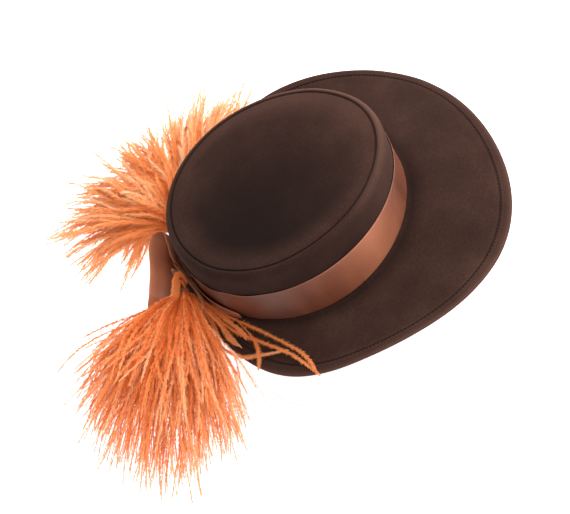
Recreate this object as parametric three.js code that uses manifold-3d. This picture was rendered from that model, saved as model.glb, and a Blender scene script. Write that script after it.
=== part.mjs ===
// A tilt hat: wool felt crown and waved brim, a satin ribbon with a bow at the back, and two ostrich sprays.
// Units are millimetres. The front of the hat is -Y, the wearer's right is -X and +Z is up.
// The origin is the middle of the head opening.
// Angles round the hat start at the front and grow towards the right.
import * as THREE from 'three';
import { mergeVertices } from 'three/addons/utils/BufferGeometryUtils.js';
import Module from 'manifold-3d';

const wasm = await Module();
wasm.setup();

// Driving dimensions
const FELT = 2;
const RIBBON = 1;
const GAP = 0.5;
const FACETS = 56;
const OPENING = { along: 90, across: 80, centreY: 0, egg: 0, wave: 5.9 };
const TIP = { along: 91, across: 84, centreY: -3.6, egg: -0.05, height: 62.4 };
const COLLAR_HEIGHT = 9;
const BAND_TOP = 36;
const BAND_MIDDLE = 22;
const GRAVITY = new THREE.Vector3(0, 0.4, -0.917);

// The brim's edge: reach from the origin and height, each a mean and waves of one turn, two turns and so on
const EDGE_REACH = { mean: 137.75, waves: [30.9, -3.7, -1.25, -0.9, -0.85] };
const EDGE_HEIGHT = { mean: -10.9, waves: [-4, -4.5, -6.5, 5.5] };
// The brim leaves the wall at this share of its mean slope and bends down from there
const BRIM_START_SLOPE = 0.45;

// Crown section, from the middle of the underside, down the wall, up outside and over the tip.
// share scales the oval, inset is taken off it, rise is the height above the brim line.
const CROWN_SECTION = [
  { share: 0.3, inset: 0, rise: 58 },
  { share: 0.7, inset: 0, rise: 59 },
  { share: 1, inset: 8.2, rise: 60 },
  { share: 1, inset: 5, rise: 59.8 },
  { share: 1, inset: 2.9, rise: 57.6 },
  { share: 1, inset: FELT, rise: 53 },
  { share: 1, inset: FELT, rise: 22 },
  { share: 1, inset: FELT, rise: GAP },
  { share: 1, inset: 0, rise: GAP },
  { share: 1, inset: 0, rise: 22 },
  { share: 1, inset: 0, rise: 42 },
  { share: 1, inset: 0, rise: 54.5 },
  { share: 1, inset: 0.6, rise: 58.2 },
  { share: 1, inset: 2.1, rise: 61 },
  { share: 1, inset: 4.2, rise: 62.3 },
  { share: 1, inset: 5.7, rise: 62.2 },
  { share: 1, inset: 6.4, rise: 61.1 },
  { share: 1, inset: 7.2, rise: 62.1 },
  { share: 0.7, inset: 0, rise: 61 },
  { share: 0.3, inset: 0, rise: 60 },
];

// Brim section, from the collar's top, out over the upper face, round the turned edge and back underneath.
// share runs from the crown's wall to the edge, inset is taken off inwards, lift is above the upper face.
const BRIM_SECTION = [
  { share: 0, inset: 2 * FELT + GAP, lift: COLLAR_HEIGHT },
  { share: 0, inset: FELT + GAP, lift: COLLAR_HEIGHT },
  { share: 0, inset: FELT + GAP, lift: 0 },
  { share: 0.2, inset: 0, lift: 0 },
  { share: 0.45, inset: 0, lift: 0 },
  { share: 0.7, inset: 0, lift: 0 },
  { share: 1, inset: 8.6, lift: 0 },
  { share: 1, inset: 7.8, lift: -0.9 },
  { share: 1, inset: 7, lift: 0.2 },
  { share: 1, inset: 2.6, lift: 0.3 },
  { share: 1, inset: 0.7, lift: -0.4 },
  { share: 1, inset: 0, lift: -1.6 },
  { share: 1, inset: 0.8, lift: -2.9 },
  { share: 1, inset: 3, lift: -3.4 },
  { share: 1, inset: 7.4, lift: -3.3 },
  { share: 1, inset: 8.4, lift: -FELT },
  { share: 0.6, inset: 0, lift: -FELT },
  { share: 0.2, inset: 0, lift: -FELT },
  { share: 0, inset: 3.2, lift: -1.8 },
  { share: 0, inset: 2 * FELT + GAP, lift: 0 },
];

// Bow loop, once round: the ribbon's lower edge stands on the brim at x, y and its upper edge is at x, y, z
const LOOP = [
  { lowX: -2.5, lowY: 94.4, highX: -2.5, highY: 95.4, highZ: 39 },
  { lowX: 15, lowY: 92.8, highX: 16, highY: 94.6, highZ: 40 },
  { lowX: 28.5, lowY: 89.6, highX: 30.5, highY: 94.5, highZ: 39.5 },
  { lowX: 32, lowY: 95, highX: 34, highY: 103.5, highZ: 38.5 },
  { lowX: 22, lowY: 99.5, highX: 25, highY: 110, highZ: 38 },
  { lowX: 5, lowY: 101.5, highX: 5, highY: 116, highZ: 36.5 },
  { lowX: -11, lowY: 103.5, highX: -7.5, highY: 125, highZ: 28.5 },
  { lowX: -23, lowY: 104, highX: -15, highY: 133, highZ: 16 },
  { lowX: -32, lowY: 99, highX: -38.5, highY: 121, highZ: 6 },
  { lowX: -27, lowY: 92.4, highX: -33, highY: 92.5, highZ: 14 },
];
const LOOP_STEPS = 36;

// Bow tail: angle round the hat, how far each edge of the ribbon stands off the crown, upper edge's height
const TAIL = [
  { around: 177, highOff: 2.8, highZ: 24, lowOff: 2.8 },
  { around: 170, highOff: 2.8, highZ: 20, lowOff: 2.9 },
  { around: 162, highOff: 3.0, highZ: 16, lowOff: 3.4 },
  { around: 154, highOff: 3.1, highZ: 13.5, lowOff: 4.0 },
  { around: 147, highOff: 2.9, highZ: 11, lowOff: 3.6 },
  { around: 140, highOff: 2.7, highZ: 7.5, lowOff: 2.9 },
];
const TAIL_STEPS = 16;
const RIBBON_LIFT = 1.2;
const KNOT = { centre: new THREE.Vector3(-7, 98.9, 24), halves: new THREE.Vector3(3.2, 3, 14) };

// Ostrich sprays. A lock leaves its root at turn (round the hat) and rise (above level), runs straight for
// reach, and falls by fall along the pull of gravity at its tip. width is half of its widest part.
const SPRAY_RIGHT = {
  root: new THREE.Vector3(-21.5, 99.5, 24.5),
  locks: [
    { turn: 174, rise: 10, reach: 76, fall: 32, width: 11 },
    { turn: 165, rise: 15, reach: 90, fall: 48, width: 11 },
    { turn: 165, rise: 11, reach: 99, fall: 66, width: 12 },
    { turn: 147, rise: 21, reach: 105, fall: 86, width: 13 },
    { turn: 144, rise: 14, reach: 99, fall: 98, width: 14 },
    { turn: 128, rise: 18, reach: 105, fall: 104, width: 14 },
    { turn: 121, rise: 11, reach: 99, fall: 112, width: 14 },
    { turn: 108, rise: 10, reach: 104, fall: 110, width: 14 },
    { turn: 100, rise: 6, reach: 90, fall: 108, width: 14 },
    { turn: 89, rise: 10, reach: 92, fall: 100, width: 13 },
    { turn: 82, rise: 3, reach: 79, fall: 90, width: 12 },
    { turn: 75, rise: 13, reach: 75, fall: 73, width: 10 },
    { turn: 173, rise: 24, reach: 66, fall: 92, width: 12 },
    { turn: 127, rise: 38, reach: 66, fall: 136, width: 13 },
    { turn: 83, rise: 41, reach: 66, fall: 144, width: 12 },
    { turn: 140, rise: 29, reach: 72, fall: 48, width: 12 },
    { turn: 112, rise: 24, reach: 85, fall: 70, width: 14 },
    { turn: 89, rise: 20, reach: 80, fall: 70, width: 13 },
    { turn: 59, rise: -10, reach: 130, fall: 12, width: 2.4 },
    { turn: 56, rise: 0, reach: 128, fall: 20, width: 2.4 },
  ],
};
const SPRAY_LEFT = {
  root: new THREE.Vector3(45.5, 84.2, 13.5),
  locks: [
    { turn: -50, rise: 9, reach: 143, fall: 18, width: 12 },
    { turn: -54, rise: 14, reach: 127, fall: 18, width: 13 },
    { turn: -67, rise: 13, reach: 117, fall: 22, width: 14 },
    { turn: -80, rise: 22, reach: 106, fall: 24, width: 14 },
    { turn: -96, rise: 21, reach: 117, fall: 30, width: 14 },
    { turn: -111, rise: 22, reach: 97, fall: 30, width: 14 },
    { turn: -122, rise: 19, reach: 110, fall: 36, width: 13 },
    { turn: -136, rise: 21, reach: 114, fall: 42, width: 12 },
    { turn: -146, rise: 15, reach: 95, fall: 50, width: 12 },
    { turn: -138, rise: 20, reach: 62, fall: 44, width: 12 },
    { turn: -108, rise: 35, reach: 63, fall: 26, width: 13 },
    { turn: -76, rise: 27, reach: 74, fall: 20, width: 13 },
    { turn: -53, rise: 19, reach: 94, fall: 16, width: 13 },
    { turn: -96, rise: 8, reach: 101, fall: 43, width: 13 },
    { turn: -69, rise: 7, reach: 128, fall: 36, width: 13 },
  ],
};
const HEAD_HALVES = new THREE.Vector3(5.5, 5.5, 5.5);
const LOCK_SIDES = 7;
const LOCK_STEPS = 8;
const LOCK_FLATNESS = 0.6;
const LOCK_ENDS = { root: 0.22, widest: 0.62, tip: 0.3 };
const LOCK_CURVE = { swell: 1.3, taper: 1.6 };
const BALL = { around: 12, down: 8 };

// Finishes
const FELT_FINISH = { color: '#2c1e19', roughness: 0.95, metalness: 0 };
const SATIN_FINISH = { color: '#7a4530', roughness: 0.4, metalness: 0 };
const OSTRICH_FINISH = { color: '#d9692f', roughness: 0.85, metalness: 0 };

const radians = THREE.MathUtils.degToRad;
const mix = THREE.MathUtils.lerp;

function wavy(table, angle) {
  return table.waves.reduce((sum, size, i) => sum + size * Math.cos((i + 1) * angle), table.mean);
}

// The crown's outer oval at a height, drawn in by inset and scaled by share
function crownPoint(angle, rise, inset = 0, share = 1) {
  const climbed = Math.min(rise / TIP.height, 1);
  const between = (name) => mix(OPENING[name], TIP[name], climbed ** 2);
  const along = (between('along') - inset) * share;
  const across = (between('across') - inset) * (1 + between('egg') * Math.cos(angle)) * share;
  const wave = OPENING.wave * Math.cos(2 * angle) * (1 - climbed) ** 2;
  const y = between('centreY') - along * Math.cos(angle);
  return new THREE.Vector3(-across * Math.sin(angle), y, rise + wave);
}

// How far down the brim is, from 0 at the wall to 1 at the edge, at a share of its width
function brimDrop(share) {
  const inside = THREE.MathUtils.clamp(share, 0, 1);
  return inside * mix(BRIM_START_SLOPE, 1, inside);
}

// A point of the brim's upper face: share 0 is the crown's wall and 1 the edge
function brimPoint(angle, share, inset = 0, lift = 0) {
  const wall = crownPoint(angle, 0);
  const bearing = Math.atan2(-wall.x, -wall.y);
  const start = Math.hypot(wall.x, wall.y);
  const end = wavy(EDGE_REACH, bearing);
  const reach = mix(start, end, share) - inset;
  const height = mix(wall.z, wavy(EDGE_HEIGHT, bearing), brimDrop((reach - start) / (end - start)));
  return new THREE.Vector3(-reach * Math.sin(bearing), -reach * Math.cos(bearing), height + lift);
}

// Height of the brim's upper face under a point, or of its edge beyond it
function brimTop(x, y) {
  const bearing = Math.atan2(-x, -y);
  const angle = Math.atan2(-x / OPENING.across, -y / OPENING.along);
  const wall = crownPoint(angle, 0);
  const start = Math.hypot(wall.x, wall.y);
  const share = (Math.hypot(x, y) - start) / (wavy(EDGE_REACH, bearing) - start);
  return mix(wall.z, wavy(EDGE_HEIGHT, bearing), brimDrop(share));
}

// Joins rings of points into one closed body. Ends that don't meet are closed by a fan to their centre.
function skin(rings, closed) {
  const count = rings[0].length;
  const points = rings.flat();
  const faces = [];
  const spans = closed ? rings.length : rings.length - 1;
  for (let i = 0; i < spans; i += 1) {
    const here = i * count;
    const next = ((i + 1) % rings.length) * count;
    for (let j = 0; j < count; j += 1) {
      const k = (j + 1) % count;
      faces.push(here + j, here + k, next + k, here + j, next + k, next + j);
    }
  }
  if (!closed) {
    const last = (rings.length - 1) * count;
    const sumOf = (ring) => ring.reduce((sum, p) => sum.add(p), new THREE.Vector3());
    const centreOf = (ring) => sumOf(ring).divideScalar(count);
    points.push(centreOf(rings[0]), centreOf(rings.at(-1)));
    for (let j = 0; j < count; j += 1) {
      const k = (j + 1) % count;
      faces.push(points.length - 2, k, j, points.length - 1, last + j, last + k);
    }
  }
  return outward(points, faces);
}

// A geometry from points and faces, turned so that the faces point out
function outward(points, faces) {
  let volume = 0;
  for (let i = 0; i < faces.length; i += 3) {
    const [a, b, c] = faces.slice(i, i + 3).map((index) => points[index]);
    volume += a.dot(new THREE.Vector3().crossVectors(b, c));
  }
  if (volume < 0) {
    faces.reverse();
  }
  const geometry = new THREE.BufferGeometry().setFromPoints(points);
  geometry.setIndex(faces);
  return geometry;
}

function ringOf(place) {
  return Array.from({ length: FACETS }, (_, i) => place((i / FACETS) * 2 * Math.PI));
}

function toManifold(geometry) {
  const bare = mergeVertices(geometry);
  return new wasm.Manifold(new wasm.Mesh({
    numProp: 3,
    vertProperties: new Float32Array(bare.attributes.position.array),
    triVerts: new Uint32Array(bare.index.array),
  }));
}

function fromManifold(body) {
  const mesh = body.getMesh();
  const geometry = new THREE.BufferGeometry();
  geometry.setAttribute('position', new THREE.BufferAttribute(mesh.vertProperties, 3));
  geometry.setIndex(new THREE.BufferAttribute(mesh.triVerts, 1));
  return geometry;
}

const hat = new THREE.Group();

function addPiece(name, geometry, finish) {
  geometry.computeVertexNormals();
  const mesh = new THREE.Mesh(geometry, new THREE.MeshStandardMaterial(finish));
  mesh.name = name;
  hat.add(mesh);
}

// Felt crown, open underneath
function crown() {
  const ring = (row) => ringOf((angle) => crownPoint(angle, row.rise, row.inset, row.share));
  return skin(CROWN_SECTION.map(ring), false);
}

// Felt brim, whose collar stands inside the crown
function brim() {
  const ring = (row) => ringOf((angle) => brimPoint(angle, row.share, row.inset, row.lift));
  return skin(BRIM_SECTION.map(ring), true);
}

// Satin ribbon round the crown's wall
function band() {
  const corners = [
    { off: GAP, rise: 2 * GAP },
    { off: GAP, rise: BAND_MIDDLE },
    { off: GAP, rise: BAND_TOP },
    { off: GAP + RIBBON, rise: BAND_TOP },
    { off: GAP + RIBBON, rise: BAND_MIDDLE },
    { off: GAP + RIBBON, rise: 2 * GAP },
  ];
  return skin(corners.map((row) => ringOf((angle) => crownPoint(angle, row.rise, -row.off))), true);
}

// A strip of ribbon between two edge curves
function ribbonStrip(low, high, steps, closed) {
  const rings = [];
  const count = closed ? steps : steps + 1;
  for (let i = 0; i < count; i += 1) {
    const t = i / steps;
    const bottom = low.getPoint(t);
    const top = high.getPoint(t);
    const along = low.getTangent(t).add(high.getTangent(t)).normalize();
    const out = new THREE.Vector3().crossVectors(along, top.clone().sub(bottom)).normalize();
    const middle = bottom.clone().lerp(top, 0.5);
    const back = [bottom, middle, top].map((p) => p.clone().addScaledVector(out, -RIBBON / 2));
    const face = [top, middle, bottom].map((p) => p.clone().addScaledVector(out, RIBBON / 2));
    rings.push([...back, ...face]);
  }
  return skin(rings, closed);
}

function bowLoop() {
  const foot = (x, y) => new THREE.Vector3(x, y, brimTop(x, y) + RIBBON_LIFT);
  const low = LOOP.map((row) => foot(row.lowX, row.lowY));
  const high = LOOP.map((row) => new THREE.Vector3(row.highX, row.highY, row.highZ));
  const lowEdge = new THREE.CatmullRomCurve3(low, true);
  const highEdge = new THREE.CatmullRomCurve3(high, true);
  return ribbonStrip(lowEdge, highEdge, LOOP_STEPS, true);
}

function bowTail() {
  const low = TAIL.map((row) => {
    const foot = crownPoint(radians(row.around), 0, -row.lowOff);
    return foot.setZ(brimTop(foot.x, foot.y) + RIBBON_LIFT);
  });
  const high = TAIL.map((row) => crownPoint(radians(row.around), row.highZ, -row.highOff).setZ(row.highZ));
  const lowEdge = new THREE.CatmullRomCurve3(low);
  const highEdge = new THREE.CatmullRomCurve3(high);
  return ribbonStrip(lowEdge, highEdge, TAIL_STEPS, false);
}

// A ball stretched to half sizes x, y and z about its centre
function ball(centre, halves) {
  const geometry = new THREE.SphereGeometry(1, BALL.around, BALL.down);
  geometry.deleteAttribute('normal');
  geometry.deleteAttribute('uv');
  geometry.scale(halves.x, halves.y, halves.z);
  geometry.translate(centre.x, centre.y, centre.z);
  return toManifold(geometry);
}

function bowKnot() {
  return fromManifold(ball(KNOT.centre, KNOT.halves));
}

// Half width of a lock along its length, as a share of its widest part
function lockWidth(t) {
  const { root, widest, tip } = LOCK_ENDS;
  const swell = mix(root, 1, Math.min(t / widest, 1) ** LOCK_CURVE.swell);
  const taper = mix(1, tip, Math.max((t - widest) / (1 - widest), 0) ** LOCK_CURVE.taper);
  return swell * taper;
}

// One tapered, flattened lock of a spray, bent under its own weight
function lock(root, row) {
  const turn = radians(row.turn);
  const rise = radians(row.rise);
  const level = Math.cos(rise);
  const start = new THREE.Vector3(-Math.sin(turn) * level, -Math.cos(turn) * level, Math.sin(rise));
  const side = new THREE.Vector3().crossVectors(start, GRAVITY).normalize();
  const rings = [];
  for (let i = 0; i <= LOCK_STEPS; i += 1) {
    const t = i / LOCK_STEPS;
    const centre = root.clone().addScaledVector(start, row.reach * t);
    centre.addScaledVector(GRAVITY, row.fall * t * t);
    const along = start.clone().multiplyScalar(row.reach);
    along.addScaledVector(GRAVITY, 2 * row.fall * t).normalize();
    const up = new THREE.Vector3().crossVectors(side, along);
    const wide = row.width * lockWidth(t);
    rings.push(Array.from({ length: LOCK_SIDES }, (_, k) => {
      const a = (k / LOCK_SIDES) * 2 * Math.PI;
      const outwards = side.clone().multiplyScalar(wide * Math.cos(a));
      return outwards.addScaledVector(up, wide * LOCK_FLATNESS * Math.sin(a)).add(centre);
    }));
  }
  return skin(rings, false);
}

// Locks fused to the bound head of the spray.
// The largest shell is kept, so closed pockets between locks are filled.
function spray({ root, locks }) {
  let body = ball(root, HEAD_HALVES);
  for (const row of locks) {
    body = body.add(toManifold(lock(root, row)));
  }
  const shells = body.decompose().sort((a, b) => b.volume() - a.volume());
  return fromManifold(shells[0]);
}

addPiece('crown', crown(), FELT_FINISH);
addPiece('brim', brim(), FELT_FINISH);
addPiece('hat_band', band(), SATIN_FINISH);
addPiece('bow_loop', bowLoop(), SATIN_FINISH);
addPiece('bow_tail', bowTail(), SATIN_FINISH);
addPiece('bow_knot', bowKnot(), SATIN_FINISH);
addPiece('plume_right', spray(SPRAY_RIGHT), OSTRICH_FINISH);
addPiece('plume_left', spray(SPRAY_LEFT), OSTRICH_FINISH);

export default hat;
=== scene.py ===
# %% [markdown]
# A tilt hat of brown wool felt, with a satin ribbon, a bow at the back and two sprays of ostrich fronds.
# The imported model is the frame: its nodes say where each part of the hat is and how large it is.
# Everything here is worked out in millimetres and turned to metres when a mesh is placed.
# The front of the hat is -Y, the wearer's right is -X, and the origin is the middle of the head opening.

import math

import bpy
import numpy as np
from mathutils import Matrix, Vector, noise


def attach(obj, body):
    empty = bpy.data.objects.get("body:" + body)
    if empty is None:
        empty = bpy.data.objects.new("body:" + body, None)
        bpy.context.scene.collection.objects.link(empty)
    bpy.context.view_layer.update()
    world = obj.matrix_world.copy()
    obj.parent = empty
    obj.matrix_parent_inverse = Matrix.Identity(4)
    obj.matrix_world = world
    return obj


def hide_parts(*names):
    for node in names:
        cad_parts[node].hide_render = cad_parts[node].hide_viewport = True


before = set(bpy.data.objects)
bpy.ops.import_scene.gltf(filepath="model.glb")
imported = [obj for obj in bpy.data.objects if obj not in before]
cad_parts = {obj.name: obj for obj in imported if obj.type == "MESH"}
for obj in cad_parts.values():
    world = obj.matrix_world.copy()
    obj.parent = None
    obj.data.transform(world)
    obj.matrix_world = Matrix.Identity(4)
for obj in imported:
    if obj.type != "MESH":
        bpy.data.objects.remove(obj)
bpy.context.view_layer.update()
MM = 0.001
print("nodes:", sorted(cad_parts))

# %% [markdown]
# The camera looks down on the wearer's right side from behind the shoulder.
# Its place was found by fitting the ovals of the crown and the brim, so its turn, height and roll are exact.
# A long lens from 1.2 metres gives the mild perspective of a picture taken across a table.
# A small shift moves the hat to its place in the frame without turning the camera.

# %% Camera
AZIMUTH = math.radians(-82.53)
ELEVATION = math.radians(48.27)
ROLL = math.radians(36.0)
DISTANCE = 1200 * MM
LENS = 97.8
SHIFT = (-0.0269, -0.058)

back = Vector((
    math.sin(AZIMUTH) * math.cos(ELEVATION),
    -math.cos(AZIMUTH) * math.cos(ELEVATION),
    math.sin(ELEVATION),
))
level = Vector((math.cos(AZIMUTH), math.sin(AZIMUTH), 0))
upright = back.cross(level)
right = level * math.cos(ROLL) - upright * math.sin(ROLL)
up = level * math.sin(ROLL) + upright * math.cos(ROLL)

camera = bpy.data.objects.new("camera", bpy.data.cameras.new("camera"))
bpy.context.scene.collection.objects.link(camera)
camera.matrix_world = Matrix.Translation(back * DISTANCE) @ Matrix((right, up, back)).transposed().to_4x4()
camera.data.lens = LENS
camera.data.shift_x, camera.data.shift_y = SHIFT
bpy.context.scene.camera = camera
print("camera at", [round(x, 3) for x in camera.location])

# %% [markdown]
# Most of a hat is cloth or felt that runs round an oval, so most pieces start as a flat grid.
# A lathe would make true circles only, but a grid can follow an oval that waves and leans.
# One way of the grid runs round the hat or along a ribbon, and the other across the felt or the ribbon.
# A function moves each corner of the grid to its place, and then the edges that meet are merged.
# The grid brings its own UV map, which later carries the weave of the ribbon.

# %% Helpers for modelling
def alone(piece):
    """Selects one piece only, and makes it the active one."""
    bpy.ops.object.select_all(action="DESELECT")
    piece.select_set(True)
    bpy.context.view_layer.objects.active = piece
    return piece


def finish_with(piece, kind, **settings):
    """Adds a modifier with these settings and applies it."""
    alone(piece)
    modifier = piece.modifiers.new(kind.lower(), kind)
    for key, value in settings.items():
        setattr(modifier, key, value)
    bpy.ops.object.modifier_apply(modifier=modifier.name)
    return piece


def tidy_mesh(piece, solid):
    """Merges corners that meet. A solid has its faces turned outwards."""
    alone(piece)
    bpy.ops.object.mode_set(mode="EDIT")
    bpy.ops.mesh.select_all(action="SELECT")
    bpy.ops.mesh.remove_doubles(threshold=0.01 * MM)
    if solid:
        bpy.ops.mesh.normals_make_consistent(inside=False)
    bpy.ops.object.mode_set(mode="OBJECT")
    bpy.ops.object.shade_smooth()
    return piece


def from_grid(name, columns, rows, place, solid, shade=None):
    """A grid of columns by rows of faces, with each corner moved to place(u, v), given in millimetres."""
    bpy.ops.object.select_all(action="DESELECT")
    bpy.ops.mesh.primitive_grid_add(x_subdivisions=columns, y_subdivisions=rows, size=1, calc_uvs=True)
    piece = bpy.context.object
    piece.name = piece.data.name = name
    shares = [(vertex.co.x + 0.5, vertex.co.y + 0.5) for vertex in piece.data.vertices]
    if shade:
        mask = piece.data.attributes.new("shade", "FLOAT", "POINT")
        mask.data.foreach_set("value", [shade(u, v) for u, v in shares])
    for vertex, (u, v) in zip(piece.data.vertices, shares):
        vertex.co = Vector(place(u, v)) * MM
    return tidy_mesh(piece, solid)


def mix(a, b, share):
    return a + (b - a) * share


# %% [markdown]
# The crown of a felt hat is steamed over a wooden block, so its plan is a slightly egg-shaped oval.
# Here the oval is described once, for any height, and the brim starts from its foot.
# The brim's edge is a mean radius and a mean height with a few waves on them, which give its dips.

# %% The ovals of the crown and the brim
OPENING = {"along": 90, "across": 80, "middle": 0, "egg": 0}
TIP = {"along": 91, "across": 84, "middle": -3.6, "egg": -0.05}
TIP_HEIGHT = 62.4
OPENING_WAVE = 5.9
FELT = 2
GAP = 0.5
EDGE_REACH = {"mean": 137.75, "waves": [30.9, -3.7, -1.25, -0.9, -0.85]}
EDGE_HEIGHT = {"mean": -10.9, "waves": [-4, -4.5, -6.5, 5.5]}
BRIM_START_SLOPE = 0.45


def wavy(table, angle):
    return table["mean"] + sum(size * math.cos((i + 1) * angle) for i, size in enumerate(table["waves"]))


def crown_point(angle, rise, inset=0.0, share=1.0):
    """A point of the crown's outer oval at a height, drawn in by inset and scaled by share."""
    climbed = max(min(rise / TIP_HEIGHT, 1), 0)
    between = {key: mix(OPENING[key], TIP[key], climbed ** 2) for key in OPENING}
    along = (between["along"] - inset) * share
    across = (between["across"] - inset) * (1 + between["egg"] * math.cos(angle)) * share
    wave = OPENING_WAVE * math.cos(2 * angle) * (1 - climbed) ** 2
    return Vector((-across * math.sin(angle), between["middle"] - along * math.cos(angle), rise + wave))


def brim_drop(share):
    """How far down the brim is, from 0 at the wall to 1 at the edge."""
    inside = max(min(share, 1), 0)
    return inside * mix(BRIM_START_SLOPE, 1, inside)


def brim_point(angle, share, inset=0.0, lift=0.0):
    """A point of the brim's upper face: share 0 is the crown's wall and 1 the edge."""
    wall = crown_point(angle, 0)
    bearing = math.atan2(-wall.x, -wall.y)
    start, end = math.hypot(wall.x, wall.y), wavy(EDGE_REACH, bearing)
    reach = mix(start, end, share) - inset
    height = mix(wall.z, wavy(EDGE_HEIGHT, bearing), brim_drop((reach - start) / (end - start)))
    return Vector((-reach * math.sin(bearing), -reach * math.cos(bearing), height + lift))


def brim_top(x, y):
    """Height of the brim's upper face under a point."""
    bearing = math.atan2(-x, -y)
    wall = crown_point(math.atan2(-x / OPENING["across"], -y / OPENING["along"]), 0)
    start = math.hypot(wall.x, wall.y)
    share = (math.hypot(x, y) - start) / (wavy(EDGE_REACH, bearing) - start)
    return mix(wall.z, wavy(EDGE_HEIGHT, bearing), brim_drop(share))


collar_inset = 2 * FELT + GAP
half_sizes = OPENING["along"] - collar_inset, OPENING["across"] - collar_inset
print("opening round in mm:", round(2 * math.pi * math.hypot(*half_sizes) / math.sqrt(2)))

# %% [markdown]
# The crown is one wall of felt, so its section is drawn as one strip: the underside of the tip, the inside
# of the wall, its foot, the outside, the rolled rim, the crease and the tip.
# A row of the table is one ring round the hat. Rows crowd at the rolled rim and at the crease.
# The last column is a mask for the colour: -1 is painted shade in the crease,
# and 1 a rubbed rim that is also a painted highlight.
# Felt is never quite even, so each ring is moved a little by slow noise.

# %% Crown
AROUND = 160
CROWN_ROWS = [
    # share, inset, rise, shade
    (0.0, 0.0, 58.0, 0),
    (0.3, 0.0, 58.0, 0),
    (0.7, 0.0, 59.0, 0),
    (1.0, 8.2, 60.0, 0),
    (1.0, 5.0, 59.8, 0),
    (1.0, 2.9, 57.6, 0),
    (1.0, FELT, 53.0, 0),
    (1.0, FELT, 22.0, 0),
    (1.0, FELT, 2 * GAP, 0),
    (1.0, 1.5, GAP, 0),
    (1.0, 0.5, GAP, 0),
    (1.0, 0.0, 2 * GAP, 0),
    (1.0, 0.0, 22.0, 0),
    (1.0, 0.0, 38.0, 0),
    (1.0, 0.0, 48.0, 0),
    (1.0, 0.0, 54.5, 0.15),
    (1.0, 0.6, 58.2, 0.6),
    (1.0, 2.1, 61.0, 1),
    (1.0, 4.2, 62.3, 0.7),
    (1.0, 5.5, 62.3, 0),
    (1.0, 6.1, 61.5, -0.7),
    (1.0, 6.4, 60.9, -1),
    (1.0, 6.8, 61.5, -0.7),
    (1.0, 7.5, 62.1, 0.1),
    (1.0, 12.0, 61.9, 0.1),
    (0.7, 0.0, 61.0, 0),
    (0.35, 0.0, 60.1, 0),
    (0.0, 0.0, 59.9, 0),
]
UNEVEN = {"size": 0.55, "spacing": 38.0}
TIP_STARTS = 0.9
# Painted light and shade on the crown: dark in the middle of the tip, light towards the front left.
PAINTED_LIGHT = {"way": (0.8, -0.6), "middle": -0.8, "edge": 0.6, "slope": 0.8, "rim": 0.45, "wall": 0.4}


def uneven(point):
    """Slow noise, in millimetres, that takes the machine look off the felt."""
    return UNEVEN["size"] * noise.noise(point / UNEVEN["spacing"])


def crown_place(u, v):
    share, inset, rise, _ = CROWN_ROWS[round(v * (len(CROWN_ROWS) - 1))]
    point = crown_point(u * 2 * math.pi, rise, inset, share)
    outwards = Vector((point.x, point.y, 0)).normalized()
    return point + outwards * uneven(point) * share + Vector((0, 0, uneven(point) * (1 - share) * 2))


def row_shade(rows):
    """The last column of a table of rows, as a function of the place on the grid."""
    return lambda u, v: rows[round(v * (len(rows) - 1))][-1]


def crown_shade(u, v):
    """The row's mask, with painted shade in the middle of the tip and painted light at its front left."""
    share, inset, rise, shade = CROWN_ROWS[round(v * (len(CROWN_ROWS) - 1))]
    point = crown_point(u * 2 * math.pi, rise, inset, share) / TIP["along"]
    painted_lighter = PAINTED_LIGHT["way"][0] * point.x + PAINTED_LIGHT["way"][1] * point.y
    if v >= TIP_STARTS and not inset:
        return PAINTED_LIGHT["middle"] + PAINTED_LIGHT["edge"] * share ** 2 + PAINTED_LIGHT["slope"] * painted_lighter
    rubbed_and_lit = shade * (PAINTED_LIGHT["rim"] + (1 - PAINTED_LIGHT["rim"]) * painted_lighter)
    return PAINTED_LIGHT["wall"] * painted_lighter + (rubbed_and_lit if shade > 0 else shade)


crown = from_grid("felt_crown", AROUND, len(CROWN_ROWS) - 1, crown_place, True, crown_shade)
finish_with(crown, "SUBSURF", levels=1, render_levels=1)
print("crown faces:", len(crown.data.polygons))

# %% [markdown]
# The brim is a second piece of felt. Its inner edge turns up as a collar inside the crown, to be sewn.
# Its outer edge is folded under and stitched down, which leaves a groove about eight millimetres in.
# The grid is closed in both directions here, so the first row comes again as the last.

# %% Brim
COLLAR_HEIGHT = 9
GROOVE_INSET = 7.8
BRIM_UNEVEN = 1.6
# The shade column paints shade at the foot, in the groove and in the fold underneath, and a light rubbed edge
# that is also a painted highlight.
BRIM_ROWS = [
    # share, inset, lift, shade
    (0.0, 2 * FELT + GAP, COLLAR_HEIGHT - 0.5, 0),
    (0.0, 2 * FELT + GAP - 0.5, COLLAR_HEIGHT, 0),
    (0.0, FELT + GAP + 0.5, COLLAR_HEIGHT, 0),
    (0.0, FELT + GAP, COLLAR_HEIGHT - 0.5, 0),
    (0.0, FELT + GAP, 1.2, 0),
    (0.0, FELT + GAP - 0.8, 0, 0),
    (0.06, 0, 0, -0.6),
    (0.2, 0, 0, 0),
    (0.45, 0, 0, 0),
    (0.7, 0, 0, 0),
    (1.0, 12.0, 0, 0),
    (1.0, 8.7, 0.1, 0.1),
    (1.0, 8.15, -0.35, -0.7),
    (1.0, GROOVE_INSET, -0.9, -1),
    (1.0, 7.4, -0.2, -0.6),
    (1.0, 6.8, 0.35, 0.2),
    (1.0, 4.5, 0.45, 0.1),
    (1.0, 2.4, 0.3, 0.3),
    (1.0, 0.7, -0.4, 0.8),
    (1.0, 0.0, -1.6, 1),
    (1.0, 0.8, -2.9, 0.5),
    (1.0, 3.0, -3.4, 0),
    (1.0, 7.4, -3.3, 0),
    (1.0, 8.4, -FELT, -0.8),
    (0.8, 0, -FELT, 0),
    (0.6, 0, -FELT, 0),
    (0.2, 0, -FELT, 0),
    (0.0, 3.2, -1.8, 0),
    (0.0, 2 * FELT + GAP, 0, 0),
]
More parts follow.
